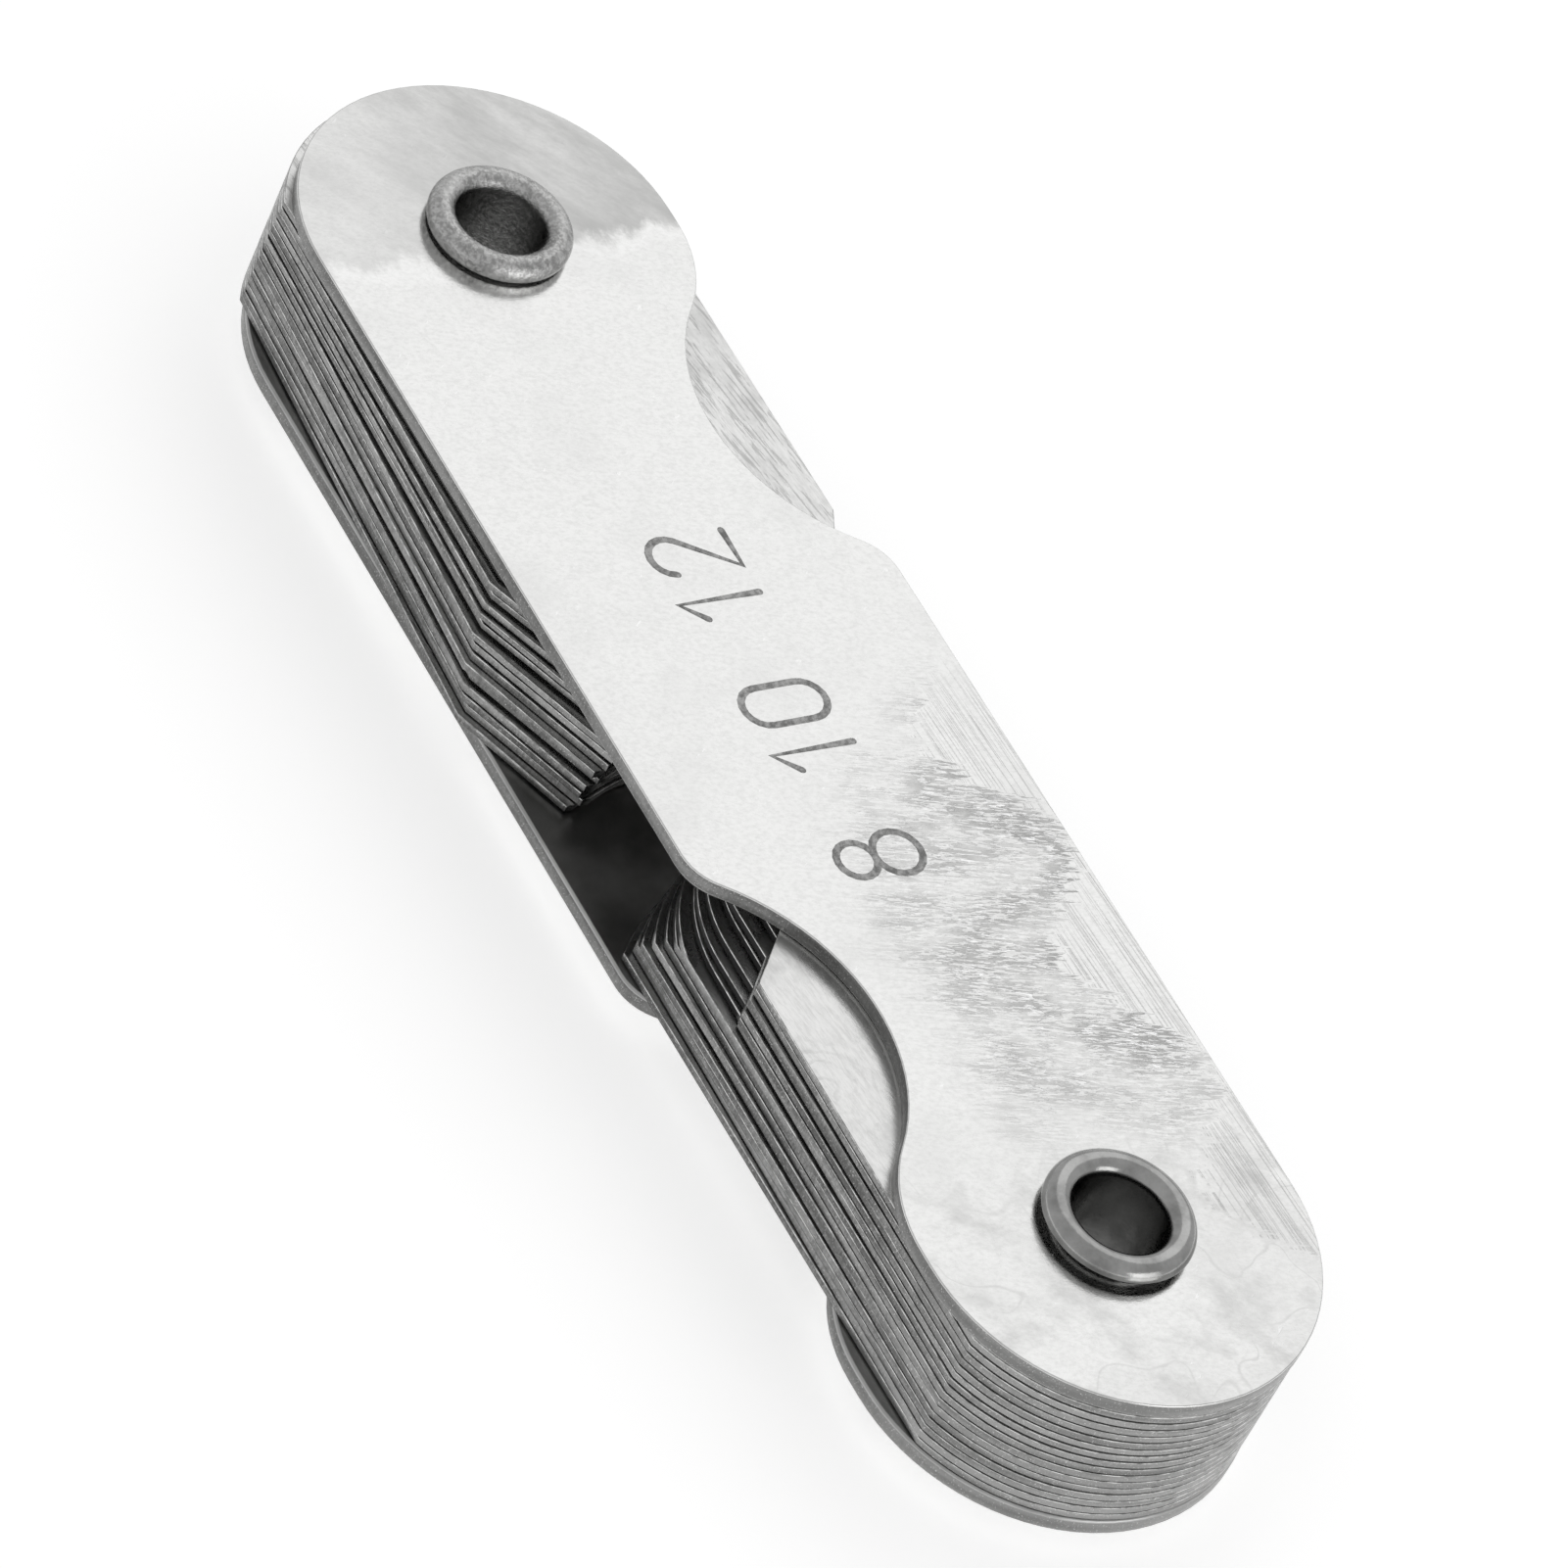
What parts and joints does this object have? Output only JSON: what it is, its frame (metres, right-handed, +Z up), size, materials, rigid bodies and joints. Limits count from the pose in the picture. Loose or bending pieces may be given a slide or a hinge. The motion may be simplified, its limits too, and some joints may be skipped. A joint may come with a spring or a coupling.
{
  "type": "radius gauge",
  "caption": "Folding radius gauge: fans of thin steel leaves with concave and convex ends, turning on two hollow eyelets between two notched cover plates.",
  "frame": {"origin": "centre of the holder, on the surface that the lower eyelet rims rest on", "axes": "+X along the holder from the concave leaves' eyelet to the convex leaves' eyelet, +Z up through the stack of leaves"},
  "size_m": [0.0904, 0.0228, 0.0132],
  "materials": {
    "cover_steel": "ground",
    "leaf_steel": "ground",
    "eyelet_steel": "rolled"
  },
  "bodies": {
    "holder": {"top_cover": "cover_steel", "bottom_cover": "cover_steel", "eyelet_concave_end": "eyelet_steel", "eyelet_convex_end": "eyelet_steel"},
    "concave_leaf_01": {"concave_leaf_01": "leaf_steel"},
    "concave_leaf_02": {"concave_leaf_02": "leaf_steel"},
    "concave_leaf_03": {"concave_leaf_03": "leaf_steel"},
    "concave_leaf_04": {"concave_leaf_04": "leaf_steel"},
    "concave_leaf_05": {"concave_leaf_05": "leaf_steel"},
    "concave_leaf_06": {"concave_leaf_06": "leaf_steel"},
    "concave_leaf_07": {"concave_leaf_07": "leaf_steel"},
    "concave_leaf_08": {"concave_leaf_08": "leaf_steel"},
    "concave_leaf_09": {"concave_leaf_09": "leaf_steel"},
    "concave_leaf_10": {"concave_leaf_10": "leaf_steel"},
    "concave_leaf_11": {"concave_leaf_11": "leaf_steel"},
    "concave_leaf_12": {"concave_leaf_12": "leaf_steel"},
    "concave_leaf_13": {"concave_leaf_13": "leaf_steel"},
    "concave_leaf_14": {"concave_leaf_14": "leaf_steel"},
    "concave_leaf_15": {"concave_leaf_15": "leaf_steel"},
    "concave_leaf_16": {"concave_leaf_16": "leaf_steel"},
    "convex_leaf_01": {"convex_leaf_01": "leaf_steel"},
    "convex_leaf_02": {"convex_leaf_02": "leaf_steel"},
    "convex_leaf_03": {"convex_leaf_03": "leaf_steel"},
    "convex_leaf_04": {"convex_leaf_04": "leaf_steel"},
    "convex_leaf_05": {"convex_leaf_05": "leaf_steel"},
    "convex_leaf_06": {"convex_leaf_06": "leaf_steel"},
    "convex_leaf_07": {"convex_leaf_07": "leaf_steel"},
    "convex_leaf_08": {"convex_leaf_08": "leaf_steel"},
    "convex_leaf_09": {"convex_leaf_09": "leaf_steel"},
    "convex_leaf_10": {"convex_leaf_10": "leaf_steel"},
    "convex_leaf_11": {"convex_leaf_11": "leaf_steel"},
    "convex_leaf_12": {"convex_leaf_12": "leaf_steel"},
    "convex_leaf_13": {"convex_leaf_13": "leaf_steel"},
    "convex_leaf_14": {"convex_leaf_14": "leaf_steel"},
    "convex_leaf_15": {"convex_leaf_15": "leaf_steel"},
    "convex_leaf_16": {"convex_leaf_16": "leaf_steel"}
  },
  "joints": [
    {"name": "concave_leaf_01_turn", "type": "hinge", "parent": "holder", "child": "concave_leaf_01", "pos_m": [-0.034, 0, 0.00659], "axis": [0, 0, 1], "continuous": true},
    {"name": "concave_leaf_02_turn", "type": "hinge", "parent": "holder", "child": "concave_leaf_02", "pos_m": [-0.034, 0, 0.00659], "axis": [0, 0, 1], "continuous": true},
    {"name": "concave_leaf_03_turn", "type": "hinge", "parent": "holder", "child": "concave_leaf_03", "pos_m": [-0.034, 0, 0.00659], "axis": [0, 0, 1], "continuous": true},
    {"name": "concave_leaf_04_turn", "type": "hinge", "parent": "holder", "child": "concave_leaf_04", "pos_m": [-0.034, 0, 0.00659], "axis": [0, 0, 1], "continuous": true},
    {"name": "concave_leaf_05_turn", "type": "hinge", "parent": "holder", "child": "concave_leaf_05", "pos_m": [-0.034, 0, 0.00659], "axis": [0, 0, 1], "continuous": true},
    {"name": "concave_leaf_06_turn", "type": "hinge", "parent": "holder", "child": "concave_leaf_06", "pos_m": [-0.034, 0, 0.00659], "axis": [0, 0, 1], "continuous": true},
    {"name": "concave_leaf_07_turn", "type": "hinge", "parent": "holder", "child": "concave_leaf_07", "pos_m": [-0.034, 0, 0.00659], "axis": [0, 0, 1], "continuous": true},
    {"name": "concave_leaf_08_turn", "type": "hinge", "parent": "holder", "child": "concave_leaf_08", "pos_m": [-0.034, 0, 0.00659], "axis": [0, 0, 1], "continuous": true},
    {"name": "concave_leaf_09_turn", "type": "hinge", "parent": "holder", "child": "concave_leaf_09", "pos_m": [-0.034, 0, 0.00659], "axis": [0, 0, 1], "continuous": true},
    {"name": "concave_leaf_10_turn", "type": "hinge", "parent": "holder", "child": "concave_leaf_10", "pos_m": [-0.034, 0, 0.00659], "axis": [0, 0, 1], "continuous": true},
    {"name": "concave_leaf_11_turn", "type": "hinge", "parent": "holder", "child": "concave_leaf_11", "pos_m": [-0.034, 0, 0.00659], "axis": [0, 0, 1], "continuous": true},
    {"name": "concave_leaf_12_turn", "type": "hinge", "parent": "holder", "child": "concave_leaf_12", "pos_m": [-0.034, 0, 0.00659], "axis": [0, 0, 1], "continuous": true},
    {"name": "concave_leaf_13_turn", "type": "hinge", "parent": "holder", "child": "concave_leaf_13", "pos_m": [-0.034, 0, 0.00659], "axis": [0, 0, 1], "continuous": true},
    {"name": "concave_leaf_14_turn", "type": "hinge", "parent": "holder", "child": "concave_leaf_14", "pos_m": [-0.034, 0, 0.00659], "axis": [0, 0, 1], "continuous": true},
    {"name": "concave_leaf_15_turn", "type": "hinge", "parent": "holder", "child": "concave_leaf_15", "pos_m": [-0.034, 0, 0.00659], "axis": [0, 0, 1], "continuous": true},
    {"name": "concave_leaf_16_turn", "type": "hinge", "parent": "holder", "child": "concave_leaf_16", "pos_m": [-0.034, 0, 0.00659], "axis": [0, 0, 1], "continuous": true},
    {"name": "convex_leaf_01_turn", "type": "hinge", "parent": "holder", "child": "convex_leaf_01", "pos_m": [0.034, 0, 0.00659], "axis": [0, 0, 1], "continuous": true},
    {"name": "convex_leaf_02_turn", "type": "hinge", "parent": "holder", "child": "convex_leaf_02", "pos_m": [0.034, 0, 0.00659], "axis": [0, 0, 1], "continuous": true},
    {"name": "convex_leaf_03_turn", "type": "hinge", "parent": "holder", "child": "convex_leaf_03", "pos_m": [0.034, 0, 0.00659], "axis": [0, 0, 1], "continuous": true},
    {"name": "convex_leaf_04_turn", "type": "hinge", "parent": "holder", "child": "convex_leaf_04", "pos_m": [0.034, 0, 0.00659], "axis": [0, 0, 1], "continuous": true},
    {"name": "convex_leaf_05_turn", "type": "hinge", "parent": "holder", "child": "convex_leaf_05", "pos_m": [0.034, 0, 0.00659], "axis": [0, 0, 1], "continuous": true},
    {"name": "convex_leaf_06_turn", "type": "hinge", "parent": "holder", "child": "convex_leaf_06", "pos_m": [0.034, 0, 0.00659], "axis": [0, 0, 1], "continuous": true},
    {"name": "convex_leaf_07_turn", "type": "hinge", "parent": "holder", "child": "convex_leaf_07", "pos_m": [0.034, 0, 0.00659], "axis": [0, 0, 1], "continuous": true},
    {"name": "convex_leaf_08_turn", "type": "hinge", "parent": "holder", "child": "convex_leaf_08", "pos_m": [0.034, 0, 0.00659], "axis": [0, 0, 1], "continuous": true},
    {"name": "convex_leaf_09_turn", "type": "hinge", "parent": "holder", "child": "convex_leaf_09", "pos_m": [0.034, 0, 0.00659], "axis": [0, 0, 1], "continuous": true},
    {"name": "convex_leaf_10_turn", "type": "hinge", "parent": "holder", "child": "convex_leaf_10", "pos_m": [0.034, 0, 0.00659], "axis": [0, 0, 1], "continuous": true},
    {"name": "convex_leaf_11_turn", "type": "hinge", "parent": "holder", "child": "convex_leaf_11", "pos_m": [0.034, 0, 0.00659], "axis": [0, 0, 1], "continuous": true},
    {"name": "convex_leaf_12_turn", "type": "hinge", "parent": "holder", "child": "convex_leaf_12", "pos_m": [0.034, 0, 0.00659], "axis": [0, 0, 1], "continuous": true},
    {"name": "convex_leaf_13_turn", "type": "hinge", "parent": "holder", "child": "convex_leaf_13", "pos_m": [0.034, 0, 0.00659], "axis": [0, 0, 1], "continuous": true},
    {"name": "convex_leaf_14_turn", "type": "hinge", "parent": "holder", "child": "convex_leaf_14", "pos_m": [0.034, 0, 0.00659], "axis": [0, 0, 1], "continuous": true},
    {"name": "convex_leaf_15_turn", "type": "hinge", "parent": "holder", "child": "convex_leaf_15", "pos_m": [0.034, 0, 0.00659], "axis": [0, 0, 1], "continuous": true},
    {"name": "convex_leaf_16_turn", "type": "hinge", "parent": "holder", "child": "convex_leaf_16", "pos_m": [0.034, 0, 0.00659], "axis": [0, 0, 1], "continuous": true}
  ]
}
